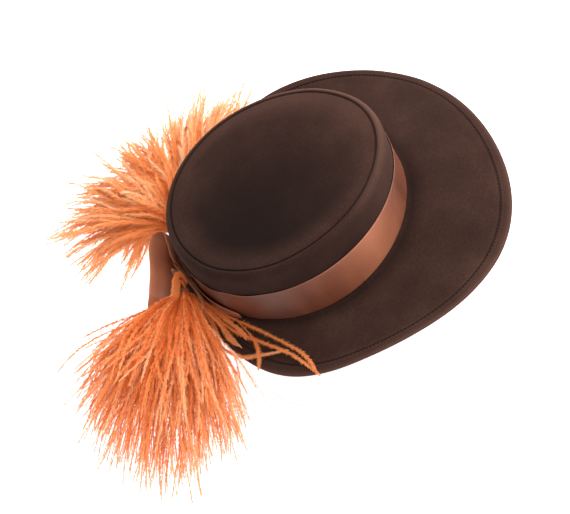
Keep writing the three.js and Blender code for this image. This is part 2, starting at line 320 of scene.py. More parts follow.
BRIM_ROWS.append(BRIM_ROWS[0])


def uneven_brim_point(angle, share, inset, lift):
    """A point of the brim, with slow noise that grows towards the edge."""
    point = brim_point(angle, share, inset, lift)
    return point + Vector((0, 0, uneven(Vector((point.x, point.y, 0))) * BRIM_UNEVEN * share))


def brim_place(u, v):
    share, inset, lift, _ = BRIM_ROWS[round(v * (len(BRIM_ROWS) - 1))]
    return uneven_brim_point(u * 2 * math.pi, share, inset, lift)


brim = from_grid("felt_brim", AROUND, len(BRIM_ROWS) - 1, brim_place, True, row_shade(BRIM_ROWS))
finish_with(brim, "SUBSURF", levels=1, render_levels=1)
print("brim faces:", len(brim.data.polygons))

# %% [markdown]
# The fold of the brim is held by one row of machine stitches that lie in the groove.
# One stitch is a small stretched ball with few faces, and a loop sets copies of it along the groove.
# The copies become one mesh, because hundreds of separate objects would be slow to work with.

# %% Stitches round the brim
STITCH = {"pitch": 2.7, "long": 1.0, "thick": 0.24, "depth": -0.55}
MEASURING_POINTS = 400


def joined(name, corners, faces):
    """One object from stacked arrays: corners in millimetres and faces as rows of corner numbers."""
    mesh = bpy.data.meshes.new(name)
    mesh.from_pydata([], [], [])
    mesh.vertices.add(len(corners))
    mesh.vertices.foreach_set("co", (np.asarray(corners, np.float32) * MM).ravel())
    count, sides = faces.shape
    mesh.loops.add(count * sides)
    mesh.loops.foreach_set("vertex_index", faces.ravel().astype(np.int32))
    mesh.polygons.add(count)
    mesh.polygons.foreach_set("loop_start", np.arange(0, count * sides, sides, dtype=np.int32))
    mesh.update(calc_edges=True)
    mesh.validate()
    piece = bpy.data.objects.new(name, mesh)
    bpy.context.scene.collection.objects.link(piece)
    return piece


def one_stitch():
    """Corners and triangles of one stitch, along X, in shares of its half sizes."""
    bpy.ops.object.select_all(action="DESELECT")
    bpy.ops.mesh.primitive_ico_sphere_add(subdivisions=1, radius=1)
    ball = bpy.context.object
    corners = np.array([vertex.co for vertex in ball.data.vertices])
    faces = np.array([list(face.vertices) for face in ball.data.polygons])
    bpy.data.objects.remove(ball)
    return corners, faces


def edge_line(inset, lift, count):
    """Points along the brim's edge, with the way they run."""
    turns = np.arange(count) / count * 2 * math.pi
    points = np.array([uneven_brim_point(turn, 1, inset, lift) for turn in turns])
    return points, np.roll(points, -1, 0) - np.roll(points, 1, 0)


def unit(rows):
    return rows / np.linalg.norm(rows, axis=-1, keepdims=True)


rough_line, _ = edge_line(GROOVE_INSET, 0, MEASURING_POINTS)
groove_length = np.linalg.norm(np.roll(rough_line, -1, 0) - rough_line, axis=1).sum()
stitch_count = round(groove_length / STITCH["pitch"])
places, ways = edge_line(GROOVE_INSET, STITCH["depth"], stitch_count)
ways = unit(ways)
sideways = unit(np.cross(ways, [0, 0, 1]))
ball_corners, ball_faces = one_stitch()
stitch_corners = (
    places[:, None]
    + ball_corners[None, :, :1] * STITCH["long"] * ways[:, None]
    + ball_corners[None, :, 1:2] * STITCH["thick"] * sideways[:, None]
    + ball_corners[None, :, 2:] * STITCH["thick"] * np.array([0, 0, 1])
).reshape(-1, 3)
starts = np.arange(stitch_count)[:, None, None] * len(ball_corners)
stitches = joined("brim_stitches", stitch_corners, (ball_faces[None] + starts).reshape(-1, 3))
print("stitches:", stitch_count, "along", round(groove_length), "mm")

# %% [markdown]
# The ribbon is satin, woven about 36 mm wide. It is a thin sheet, so it is made as a surface between two
# edges, and the Solidify modifier gives it its thickness. It is pulled tight and sewn down, so a few
# curves are enough, without a cloth simulation.

# %% Curves and ribbons
RIBBON = 0.5
RIBBON_ROWS = 12


def curve_through(points, closed):
    """A smooth curve through the points, as a function of a share from 0 to 1."""
    points = [Vector(p) for p in points]
    count = len(points)

    def pick(i):
        return points[i % count] if closed else points[max(0, min(i, count - 1))]

    def curve(share):
        spans = count if closed else count - 1
        place = share * spans
        i = int(place) if closed else min(int(place), spans - 1)
        t = place - i
        before, here, after, beyond = pick(i - 1), pick(i), pick(i + 1), pick(i + 2)
        return 0.5 * (
            2 * here + (after - before) * t
            + (2 * before - 5 * here + 4 * after - beyond) * t ** 2
            + (3 * here - before - 3 * after + beyond) * t ** 3
        )

    return curve


def as_ribbon(piece):
    """Gives a surface the thickness of the ribbon and makes it smooth."""
    finish_with(piece, "SOLIDIFY", thickness=RIBBON * MM, offset=0)
    return finish_with(piece, "SUBSURF", levels=1, render_levels=1)


def ribbon_between(name, low, high, columns, closed, folds, shade):
    """A ribbon between two edge curves, pushed out of its plane by folds(u, v)."""
    step = 0.5 / columns

    def place(u, v):
        near = (u - step) % 1 if closed else max(u - step, 0)
        far = (u + step) % 1 if closed else min(u + step, 1)
        along = mix(low(far), high(far), v) - mix(low(near), high(near), v)
        across = high(u) - low(u)
        return mix(low(u), high(u), v) + along.cross(across).normalized() * folds(u, v)

    return as_ribbon(from_grid(name, columns, RIBBON_ROWS, place, False, shade))


# %% [markdown]
# Round the crown the ribbon lies a millimetre off the felt, with soft ripples near the bow.
# Its tones are a table round the hat: painted highlight at the right front,
# painted shade where folds run in under the bow.

# %% Ribbon round the crown
BAND = {"foot": 0.9, "top": 36, "off": 0.95, "columns": 200, "rows": 10}
RIPPLE = {"at": 150, "reach": 34, "size": 0.45, "slant": 26, "folds": 3.2, "foot": 0.35}
BAND_PAINTED_LIGHT = [
    # degrees from the front towards the wearer's right, painted light (+) or painted shade (-)
    (0, 0), (30, -0.35), (45, 0.2), (62, 0.75), (80, 0.2), (98, -0.1), (118, -0.65), (150, -0.6),
    (180, -0.3), (230, 0), (360, 0),
]


def band_place(u, v):
    angle = u * 2 * math.pi
    degrees = math.degrees(angle)
    rise = mix(BAND["foot"], BAND["top"], v)
    near = math.exp(-((degrees - RIPPLE["at"]) / RIPPLE["reach"]) ** 2)
    phase = (degrees + RIPPLE["slant"] * v) / RIPPLE["reach"] * RIPPLE["folds"] * math.pi
    ripple = near * RIPPLE["size"] * math.sin(phase) * mix(RIPPLE["foot"], 1, v)
    return crown_point(angle, rise, -BAND["off"] - ripple)


def band_shade(u, v):
    degrees, tones = zip(*BAND_PAINTED_LIGHT)
    return float(np.interp(u * 360, degrees, tones))


band = as_ribbon(from_grid("satin_band", BAND["columns"], BAND["rows"], band_place, False, band_shade))
print("band faces:", len(band.data.polygons))

# %% [markdown]
# The bow is a flat loop that stands at the back and a tail that crosses the band and lies on the brim.
# Their edges are smooth curves through the model's own points, with folds that fan out from the knot.

# %% Bow
RIBBON_LIFT = 1.2
LOOP = [
    # low x, low y, high x, high y, high z
    (-2.5, 94.4, -2.5, 95.4, 39.0),
    (15.0, 92.8, 16.0, 94.6, 40.0),
    (28.5, 89.6, 30.5, 94.5, 39.5),
    (32.0, 95.0, 34.0, 103.5, 38.5),
    (22.0, 99.5, 25.0, 110.0, 38.0),
    (5.0, 101.5, 5.0, 116.0, 36.5),
    (-11.0, 103.5, -7.5, 125.0, 28.5),
    (-23.0, 104.0, -15.0, 133.0, 16.0),
    (-32.0, 99.0, -38.5, 121.0, 6.0),
    (-27.0, 92.4, -33.0, 92.5, 14.0),
]
TAIL = [
    # angle round the hat, how far the upper edge stands off, its height, the same for the lower edge
    (177, 2.8, 24.0, 2.8),
    (170, 2.8, 20.0, 2.9),
    (162, 3.0, 16.0, 3.4),
    (154, 3.1, 13.5, 4.0),
    (147, 2.9, 11.0, 3.6),
    (140, 2.7, 7.5, 2.9),
]
LOOP_FOLD = {"size": 0.9, "folds": 3, "least": 0.4, "lean": 2}
TAIL_FOLD = {"size": 0.5, "folds": 2.5}
LOOP_PAINTED_LIGHT = {"near": 0.8, "at": 0.2, "rise": 0.3, "edge": 0.6}
TAIL_PAINTED_LIGHT = 0.6


def loop_folds(u, v):
    """Soft folds that run out from the knot and fade along the ribbon."""
    near_knot = math.cos(math.pi * u) ** 2
    size = LOOP_FOLD["size"] * mix(LOOP_FOLD["least"], 1, near_knot)
    return size * math.sin(v * LOOP_FOLD["folds"] * math.pi + LOOP_FOLD["lean"] * u)


def tail_folds(u, v):
    return TAIL_FOLD["size"] * (1 - u) * math.sin(v * TAIL_FOLD["folds"] * math.pi)


def loop_shade(u, v):
    """Painted highlight: the loop is lighter next to the crown and towards its upper edge."""
    near_crown = (0.5 + 0.5 * math.cos(2 * math.pi * (u - LOOP_PAINTED_LIGHT["at"]))) ** 2
    return mix(LOOP_PAINTED_LIGHT["rise"] * v + LOOP_PAINTED_LIGHT["edge"] * v ** 4, LOOP_PAINTED_LIGHT["near"], near_crown)


# Painted light: the whole tail is lighter.
def tail_shade(u, v):
    return TAIL_PAINTED_LIGHT


def on_brim(x, y):
    return (x, y, brim_top(x, y) + RIBBON_LIFT)


def tail_foot(row):
    foot = crown_point(math.radians(row[0]), 0, -row[3])
    return on_brim(foot.x, foot.y)


def tail_head(row):
    head = crown_point(math.radians(row[0]), row[2], -row[1])
    return (head.x, head.y, row[2])


loop = ribbon_between(
    "bow_satin_loop",
    curve_through([on_brim(row[0], row[1]) for row in LOOP], True),
    curve_through([row[2:] for row in LOOP], True),
    110, True, loop_folds, loop_shade,
)
tail = ribbon_between(
    "bow_satin_tail",
    curve_through([tail_foot(row) for row in TAIL], False),
    curve_through([tail_head(row) for row in TAIL], False),
    40, False, tail_folds, tail_shade,
)
print("loop and tail faces:", len(loop.data.polygons), len(tail.data.polygons))

# %% [markdown]
# The knot is a short length of the same ribbon wrapped round the bow. It starts as a ball with many sides,
# stretched upright, and a wave round it presses in the pleats of the wrap.

# %% Knot
KNOT = {"centre": Vector((-7, 98.9, 24)), "halves": Vector((3.2, 3, 14)), "pleats": 7, "depth": 0.12,
        "lean": 1.5}


def pleated(co):
    turn = math.atan2(co.y, co.x)
    press = 1 - KNOT["depth"] * (0.5 + 0.5 * math.cos(KNOT["pleats"] * turn + KNOT["lean"] * co.z))
    shape = Vector((co.x * press, co.y * press, co.z))
    return (KNOT["centre"] + shape * KNOT["halves"]) * MM


bpy.ops.object.select_all(action="DESELECT")
bpy.ops.mesh.primitive_uv_sphere_add(segments=56, ring_count=24, radius=1, calc_uvs=True)
knot = bpy.context.object
knot.name = knot.data.name = "bow_satin_knot"
for vertex in knot.data.vertices:
    vertex.co = pleated(vertex.co)
bpy.ops.object.shade_smooth()
print("knot faces:", len(knot.data.polygons))

# %% [markdown]
# An ostrich spray is hundreds of fronds bound at the root. Each is a thin shaft with soft hairs round it,
# so it looks like a fuzzy rope that keeps its width almost to its tip.
# One by one they would take for ever, so they are worked out as arrays, many at a time.
# A spray is described by locks: each has a way to leave the root, a reach, and how far its tip falls.
# The fronds of a lock start together, spread as the lock swells, and gather in tufts towards their tips.

# %% The locks of the two sprays
PULL = np.array([0, 0.4, -0.917])
SPRAY_RIGHT = {
    "root": (-21.5, 99.5, 24.5),
    "locks": [
        # turn, rise, reach, fall, half width
        (174, 10, 76, 32, 11),
        (165, 15, 90, 48, 11),
        (165, 11, 99, 66, 12),
        (147, 21, 105, 86, 13),
        (144, 14, 99, 98, 14),
        (128, 18, 105, 104, 14),
        (121, 11, 99, 112, 14),
        (108, 10, 104, 110, 14),
        (100, 6, 90, 108, 14),
        (89, 10, 92, 100, 13),
        (82, 3, 79, 90, 12),
        (75, 13, 75, 73, 10),
        (173, 24, 66, 92, 12),
        (127, 38, 66, 136, 13),
        (83, 41, 66, 144, 12),
        (140, 29, 72, 48, 12),
        (112, 24, 85, 70, 14),
        (89, 20, 80, 70, 13),
    ],
}
SPRAY_LEFT = {
    "root": (45.5, 84.2, 13.5),
    "locks": [
        (-50, 9, 143, 18, 12),
        (-54, 14, 127, 18, 13),
        (-67, 13, 117, 22, 14),
        (-80, 22, 106, 24, 14),
        (-96, 21, 117, 30, 14),
        (-111, 22, 97, 30, 14),
        (-122, 19, 110, 36, 13),
        (-136, 21, 114, 42, 12),
        (-146, 15, 95, 50, 12),
        (-138, 20, 62, 44, 12),
        (-108, 35, 63, 26, 13),
        (-76, 27, 74, 20, 13),
        (-53, 19, 94, 16, 13),
        (-96, 8, 101, 43, 13),
        (-69, 7, 128, 36, 13),
    ],
}
STEPS = 12
FLATNESS = 0.6
SWELL = {"root": 0.15, "widest": 0.62, "power": 1.2}
GATHER_POWER = 1.5
SWAY = {"waves": (2, 7), "onset": 1.5}
CURL = {"start": 0.35, "limit": 15}


def in_disc(random, count):
    """Chance places in a circle of radius 1."""
    turn = random.uniform(0, 2 * math.pi, count)
    out = np.sqrt(random.uniform(0, 1, count))
    return np.stack([out * np.cos(turn), out * np.sin(turn)], -1)


def lock_lines(root, row, count, random, style):
    """Lines of count fronds of one lock: an array of fronds by steps by x, y, z."""
    turn, rise, reach, fall, width = row
    turn, rise = math.radians(turn), math.radians(rise)
    start = np.array([-math.sin(turn) * math.cos(rise), -math.cos(turn) * math.cos(rise), math.sin(rise)])
    side = unit(np.cross(start, PULL))
    t = np.linspace(0, 1, STEPS)[None, :, None] * random.uniform(*style["length"], (count, 1, 1))
    droop = style["droop"] * random.uniform(0, 1, (count, 1, 1)) * t ** 4
    centre = np.array(root) + start * reach * t + PULL * (fall * t ** 2 + droop)
    over = np.cross(side, unit(start * reach + 2 * PULL * fall * t))
    tuft = random.integers(0, style["tufts"], count)
    tuft_place = in_disc(random, style["tufts"])[tuft][:, None]
    gathered = style["gather"] * t ** GATHER_POWER
    place = mix(in_disc(random, count)[:, None], tuft_place, gathered) * [1, FLATNESS]
    swollen = mix(SWELL["root"], 1, np.minimum(t / SWELL["widest"], 1) ** SWELL["power"])
    swell = width * style["spread"] * swollen
    wave = random.uniform(*SWAY["waves"], (count, 1, 2)) * t + random.uniform(0, 2 * math.pi, (count, 1, 2))
    sway = style["sway"] * np.minimum(t * SWAY["onset"], 1) * (np.sin(wave) - np.sin(wave[:, :1]))
    tuft_curl = random.normal(0, style["curl"], (style["tufts"], 2))[tuft]
    own_curl = random.normal(0, style["stray"], (count, 2))
    free_curl = (tuft_curl + own_curl)[:, None] * np.maximum(t - CURL["start"], 0) ** 2
    curl = CURL["limit"] * np.tanh(free_curl / CURL["limit"])
    aside = swell * place + sway + curl
    return centre + aside[..., :1] * side + aside[..., 1:] * over


# %% [markdown]
# The hairs of a frond are flat slivers, one triangle each, because there are hundreds of thousands of them.
# They leave the shaft at a slant and wind slowly round it, which gives the look of a rope.
# Near the tip they are shorter and lie closer to the shaft.

# %% Shafts and hairs
SHAFT_THINS = 0.6
HAIR_CROWDING = 0.8
HAIR_GROWTH = {"root": 0.4, "full": 0.3}
HAIR_LENGTHS = (0.5, 1.15)
HAIR_WIDTHS = {"root": 0.55, "more": 1.1, "turned": 0.5}
HAIR_TIP = {"closes": 0.5, "power": 8}


def frond_frames(lines, random):
    """The way ahead along each line, and two directions square to it."""
    ahead = unit(np.gradient(lines, axis=1))
    side = unit(np.cross(ahead, unit(random.normal(0, 1, (len(lines), 1, 3)))))
    return ahead, side, np.cross(side, ahead)


def shafts(lines, side, half_width):
    """A flat strip along each line, thinner towards the tip: its corners and triangles."""
    count, steps = lines.shape[:2]
    half = (half_width * (1 - SHAFT_THINS * np.linspace(0, 1, steps)))[None, :, None]
    corners = np.stack([lines - side * half, lines + side * half], 2).reshape(-1, 3)
    first = (np.arange(count)[:, None] * steps + np.arange(steps - 1)[None]).reshape(-1, 1) * 2
    quads = np.concatenate([first, first + 1, first + 3, first + 2], 1)
    return corners, np.concatenate([quads[:, [0, 1, 2]], quads[:, [0, 2, 3]]])


def slivers(lines, frames, hairs, hair, random):
    """Hairs along each line: the three corners of each, and how far along its line it is."""
    count, steps = lines.shape[:2]
    where = random.uniform(hair["bare"], 1, (count, hairs)) ** HAIR_CROWDING
    i = np.minimum((where * (steps - 1)).astype(int), steps - 2)
    f = (where * (steps - 1) - i)[..., None]
    frond = np.arange(count)[:, None]

    def along_line(rows):
        return rows[frond, i] * (1 - f) + rows[frond, i + 1] * f

    ahead, side, over = frames
    base, way = along_line(lines), unit(along_line(ahead))
    wind = hair["turns"] * 2 * math.pi * where + random.uniform(0, 2 * math.pi, (count, 1))
    either_side = math.pi * random.integers(0, 2, (count, hairs))
    hand = wind + either_side + random.normal(0, hair["loose"], (count, hairs))
    out = np.cos(hand)[..., None] * along_line(side) + np.sin(hand)[..., None] * along_line(over)
    near_tip = where[..., None] ** HAIR_TIP["power"]
    slant = random.uniform(*hair["slant"], (count, hairs, 1)) * (1 - HAIR_TIP["closes"] * near_tip)
    grown = mix(HAIR_GROWTH["root"], 1, np.minimum(where / HAIR_GROWTH["full"], 1))[..., None]
    grown = grown * (1 - hair["taper"] * near_tip)
    long = hair["long"] * random.uniform(*HAIR_LENGTHS, (count, hairs, 1)) * grown
    point = base + (way * np.cos(slant) + out * np.sin(slant)) * long + PULL * hair["droop"] * long
    turned = random.normal(0, HAIR_WIDTHS["turned"], (count, hairs, 1))
    half = hair["thick"] / 2 * (HAIR_WIDTHS["root"] + HAIR_WIDTHS["more"] * where[..., None])
    foot = unit(way + np.cross(out, way) * turned) * half
    return np.stack([base - foot, base + foot, point], 2).reshape(-1, 3), where


# %% [markdown]
# A frond's colour changes along it, and no two fronds are alike. So each corner keeps how far along the
# frond it is, a chance number for the frond, and whether it is the tip of a hair.

# %% Fronds as meshes
def keep_colour_numbers(piece, steps, where, random):
    """The map holds the place along the frond and its chance number, and fluff marks the hairs' tips."""
    count, hairs = where.shape
    chance = random.uniform(0, 1, (count, 1, 1))
    shares = np.linspace(0, 1, steps)
    shaft_uv = np.stack(np.broadcast_arrays(shares[None, :, None], chance, np.zeros(2))[:2], -1)
    hair_uv = np.stack(np.broadcast_arrays(where[..., None], chance, np.zeros(3))[:2], -1)
    corner_uv = np.concatenate([shaft_uv.reshape(-1, 2), hair_uv.reshape(-1, 2)]).astype(np.float32)
    index = np.empty(len(piece.data.loops), np.int32)
    piece.data.loops.foreach_get("vertex_index", index)
    piece.data.uv_layers.new(name="frond").data.foreach_set("uv", corner_uv[index].ravel())
    fluff = np.concatenate([np.zeros(count * steps * 2), np.tile([0, 0, 1], count * hairs)])
    mask = piece.data.attributes.new("fluff", "FLOAT", "POINT")
    mask.data.foreach_set("value", fluff.astype(np.float32))


def frond_mesh(name, lines, hairs, hair, random):
    """Shafts and hairs for all the lines, as one mesh."""
    frames = frond_frames(lines, random)
    shaft_corners, shaft_faces = shafts(lines, frames[1], hair["shaft"])
    hair_corners, where = slivers(lines, frames, hairs, hair, random)
    hair_faces = np.arange(len(hair_corners)).reshape(-1, 3) + len(shaft_corners)
    corners = np.concatenate([shaft_corners, hair_corners])
    piece = joined(name, corners, np.concatenate([shaft_faces, hair_faces]))
    keep_colour_numbers(piece, lines.shape[1], where, random)
    print(name, "triangles:", len(piece.data.polygons))
    return piece


# %% [markdown]
# Each spray has two layers. The inner one is narrower, so that the heart of the spray is dense.
# The right spray hangs in separate ropes. The left one is fluffier, with longer hairs and drooping tips.

# %% Sprays
NEAR_STYLE = {
    "length": (0.9, 1.03), "tufts": 5, "gather": 0.4, "sway": 4.0, "curl": 20, "stray": 30, "droop": 0,
    "spread": 1.0,
}
NEAR_HAIR = {
    "shaft": 0.55, "long": 3.7, "thick": 0.7, "slant": (0.15, 0.85), "droop": 0.1,
    "bare": 0.02, "turns": 3, "loose": 0.9, "taper": 0.3,
}
FAR_STYLE = {
    "length": (0.78, 1.06), "tufts": 5, "gather": 0.45, "sway": 2.4, "curl": 30, "stray": 22, "droop": 18,
    "spread": 1.0,
}
FAR_HAIR = {
    "shaft": 0.45, "long": 6.2, "thick": 0.6, "slant": (0.12, 0.75), "droop": 0.15,
    "bare": 0.03, "turns": 2, "loose": 1.2, "taper": 0.3,
}
NEAR_INNER = {**NEAR_STYLE, "spread": 0.7}
FAR_INNER = {**FAR_STYLE, "spread": 0.8}


def spray_layer(name, spray, per_lock, hairs, style, hair, seed):
    random = np.random.default_rng(seed)
    lines = [lock_lines(spray["root"], row, per_lock, random, style) for row in spray["locks"]]
    return frond_mesh(name, np.concatenate(lines), hairs, hair, random)


right_layers = [
    spray_layer("spray_right_inner", SPRAY_RIGHT, 15, 680, NEAR_INNER, NEAR_HAIR, 11),
    spray_layer("spray_right_outer", SPRAY_RIGHT, 15, 680, NEAR_STYLE, NEAR_HAIR, 12),
]
left_layers = [
    spray_layer("spray_left_inner", SPRAY_LEFT, 18, 670, FAR_INNER, FAR_HAIR, 21),
    spray_layer("spray_left_outer", SPRAY_LEFT, 18, 670, FAR_STYLE, FAR_HAIR, 22),
]

# %% [markdown]
# A few fronds leave the right spray and lie over the brim, and one curls over the knot of the bow.
# They are placed one by one, as a milliner would: each row is a curve through a few points, with the number
# of fronds that follow it and how far they stray from it.

# %% Loose fronds
STRANDS = [
    # fronds, stray, points
    (4, 1.0, [(-21.5, 97, 22), (-34, 89, 10), (-46, 81, 5), (-62.5, 69, 2), (-77, 58.5, -1),
              (-102, 43, -3.5), (-115, 38.5, -4.5), (-127, 37, -4.5)]),
    (4, 1.2, [(-21.5, 98, 22), (-34, 93, 9), (-46, 87.5, 3), (-62, 79, -1), (-77.5, 66.5, -3.5),
              (-98.5, 50.5, -5), (-118, 41, -5), (-133, 35.5, -3.5)]),
    (4, 1.2, [(-21.5, 99, 21), (-36, 98, 6), (-48, 97.5, -4), (-63, 94.5, -10), (-76, 85, -12),
              (-85.5, 71.5, -8.5), (-97, 50, -4.5)]),
    (5, 2.6, [(-21.5, 98, 22), (-32, 93, 10), (-46, 87.5, 4), (-58, 87, -4), (-68, 84, -9)]),
    (4, 2.2, [(-21.5, 98, 22), (-34, 95, 8), (-50, 94, -1), (-63, 96, -8)]),
    (4, 1.8, [(-21.5, 97, 22), (-30, 91, 10), (-44, 84, 5), (-58, 78, 1), (-70, 74, -2)]),
    (2, 0.6, [(-56, 74.5, 4), (-73.5, 70, -2), (-85, 72, -8), (-92, 78, -14)]),
    (10, 1.9, [(-18.4, 95, 27), (-15, 94.5, 32), (-12.5, 96, 35), (-15, 100, 34), (-21.5, 105, 31),
               (-28.5, 112, 28), (-36, 123, 22)]),
    (6, 1.6, [(-21, 97, 27), (-17.5, 97, 32), (-19, 100, 33), (-26, 105, 30), (-35, 112, 25),
              (-44, 121, 19)]),
]


STRAND_WAVES = (4, 9)
STRAND_STRAY = [0.6, 0.6, 0.35]


def strand_lines(rows, random):
    """The rows' curves, each as many times as it has fronds, with a little stray of their own."""
    shares = np.linspace(0, 1, 2 * STEPS)
    lines = []
    for fronds, stray, points in rows:
        curve = curve_through(points, False)
        line = np.array([curve(share) for share in shares])
        for _ in range(fronds):
            wave = random.uniform(*STRAND_WAVES, 3) * shares[:, None] + random.uniform(0, 2 * math.pi, 3)
            lines.append(line + stray * shares[:, None] ** 0.5 * np.sin(wave) * STRAND_STRAY)
    return np.array(lines)


strand_random = np.random.default_rng(31)
STRAND_HAIR = {
    **NEAR_HAIR, "shaft": 0.3, "long": 3.2, "thick": 0.3, "slant": (0.25, 1.2), "turns": 6, "loose": 1.2,
    "taper": 0.85,
}
strand_places = strand_lines(STRANDS, strand_random)
strands = frond_mesh("strands_over_brim", strand_places, 900, STRAND_HAIR, strand_random)

# %% [markdown]
# Some bare shafts have lost most of their hairs and stand out of the sprays as thin wisps.

# %% Wisps
WISPS = [
    (1, 0.5, [(-30, 101, 12), (-52, 104, -20), (-70, 108, -48), (-84, 108, -72)]),
    (1, 0.5, [(-34, 98, 8), (-62, 98, -25), (-82, 100, -50), (-92, 99, -74)]),
    (1, 0.5, [(-56, 83, -7), (-76, 85, -42), (-90, 80, -60), (-99, 68, -74)]),
    (1, 0.5, [(-60, 84, -8), (-77, 90, -46), (-86, 92, -72)]),
    (1, 0.3, [(-23, 104, 26), (-26.7, 116, 28.6), (-21.8, 137, 28.6), (-15, 154, 29.9), (-9.6, 173, 30.2)]),
    (1, 0.4, [(-24, 106, 26), (-29, 120, 27), (-24, 140, 27), (-17, 158, 26), (-14, 170, 25)]),
    (1, 0.5, [(-28, 125, 26), (-33, 150, 26.7), (-31.5, 173, 24.3), (-35.8, 193, 16), (-38.4, 210, 9.4)]),
    (1, 0.5, [(72, 118, 44), (78, 126, 46), (72, 137, 43.5), (60, 133, 32), (50, 128, 22), (44, 112, 22)]),
    (1, 0.5, [(57, 118, 30), (57.6, 131, 29.6), (57.5, 145, 31), (50.6, 152, 23), (42.3, 157, 11)]),
    (1, 0.5, [(88, 122, 48), (88.5, 136, 47), (85.7, 148, 45), (80.3, 162, 42), (74.3, 171, 37)]),
]
WISP_HAIR = {**NEAR_HAIR, "shaft": 0.22, "long": 2.0, "thick": 0.2, "turns": 5, "loose": 1.5}
wisp_random = np.random.default_rng(41)
wisps = frond_mesh("wisps", strand_lines(WISPS, wisp_random), 130, WISP_HAIR, wisp_random)

# %% [markdown]
# Each spray is bound at its root with thread before it is sewn on. The binding is a few millimetres across
# and nearly hidden, so a small ball with one ridge for each turn of the thread is enough.

# %% Bound heads
HEAD = {"half": 3.8, "ridges": 14, "depth": 0.05}


def bound_head(name, root):
    bpy.ops.object.select_all(action="DESELECT")
    bpy.ops.mesh.primitive_uv_sphere_add(segments=32, ring_count=56, radius=1)
    head = bpy.context.object
    head.name = head.data.name = name
    for vertex in head.data.vertices:
        ridge = 1 - HEAD["depth"] * (0.5 + 0.5 * math.cos(HEAD["ridges"] * math.pi * vertex.co.z))
        vertex.co = (Vector(root) + vertex.co * HEAD["half"] * ridge) * MM
    bpy.ops.object.shade_smooth()
    return head


heads = [
    bound_head("spray_right_head", SPRAY_RIGHT["root"]),
    bound_head("spray_left_head", SPRAY_LEFT["root"]),
]
print("head faces:", len(heads[0].data.polygons))

# %% [markdown]
# A finish in Blender is a net of nodes. Long sums of nodes are hard to read, so a small class wraps a socket
# and lets Python signs add the Math nodes. Every other node comes from one method.

# %% Shader maths
class Socket:
    """A number from a node, that can stand in a sum."""

    def __init__(self, paint, socket):
        self.paint = paint
        self.socket = socket

    def join(self, operation, first, second):
        return self.paint.node("ShaderNodeMath", {"operation": operation}, {0: first, 1: second})

    def __add__(self, other):
        return self.join("ADD", self, other)

    def __sub__(self, other):
        return self.join("SUBTRACT", self, other)

    def __mul__(self, other):
        return self.join("MULTIPLY", self, other)

    def __gt__(self, other):
        return self.join("GREATER_THAN", self, other)

    def __lt__(self, other):
        return self.join("LESS_THAN", self, other)

    def clamped(self):
        return self.paint.node("ShaderNodeClamp", {}, {"Value": self})

    __radd__ = __add__
    __rmul__ = __mul__


class Paint:
    """One material, built up by naming nodes, with the shader last."""

    def __init__(self, name):
        self.material = bpy.data.materials.new(name)
        self.material.use_nodes = True
        self.tree = self.material.node_tree
        self.tree.nodes.clear()

    def node(self, kind, settings=None, sockets=None, output=0):
        made = self.tree.nodes.new(kind)
        for key, value in (settings or {}).items():
            if key == "stops":
                self.set_stops(made.color_ramp, value)
            else:
                setattr(made, key, value)
        for key, value in (sockets or {}).items():
            if isinstance(value, Socket):
                self.tree.links.new(value.socket, made.inputs[key])
            else:
                made.inputs[key].default_value = value
        if isinstance(output, tuple):
            return tuple(Socket(self, made.outputs[number]) for number in output)
        return Socket(self, made.outputs[output])

    def set_stops(self, ramp, stops):
        while len(ramp.elements) < len(stops):
            ramp.elements.new(0.5)
        for element, (place, colour) in zip(ramp.elements, stops):
            element.position = place
            element.color = (*colour, 1)

    def blend(self, share, first, second):
        settings = {"data_type": "RGBA", "clamp_factor": True}
        colours = [c if isinstance(c, Socket) else (*c, 1) for c in (first, second)]
        return self.node("ShaderNodeMix", settings, {0: share, 6: colours[0], 7: colours[1]}, 2)

    def noise(self, place, scale, detail, roughness=0.5):
        sockets = {"Vector": place, "Scale": scale, "Detail": detail, "Roughness": roughness}
        return self.node("ShaderNodeTexNoise", {}, sockets)

    def surface(self, **sockets):
        named = {key.replace("_", " "): value for key, value in sockets.items()}
        return self.node("ShaderNodeBsdfPrincipled", {}, named)

    def finish(self, shader):
        output = self.tree.nodes.new("ShaderNodeOutputMaterial")
        self.tree.links.new(shader.socket, output.inputs["Surface"])
        return self.material


def srgb(red, green, blue):
    """A colour as a screen shows it, turned to the linear numbers that a shader needs."""
    shares = [value / 255 for value in (red, green, blue)]
    return tuple(((c + 0.055) / 1.055) ** 2.4 if c > 0.04 else c / 12.92 for c in shares)


# %% [markdown]
# Wool felt is matt and soft. Its fibres catch light at a grazing angle, which the sheen gives.
# Slow noise changes the brown a little, fast noise gives the fibres, and the shade mask paints shade into
# the crease, the groove and the middle of the tip, and paints light on the rubbed edges, partly real wear
# and partly painted highlight. A few cells of a cell pattern hold a pale speck of lint.

# %% Felt
LINT = {"cells": 95, "radius": 0.045, "kept": 0.965}


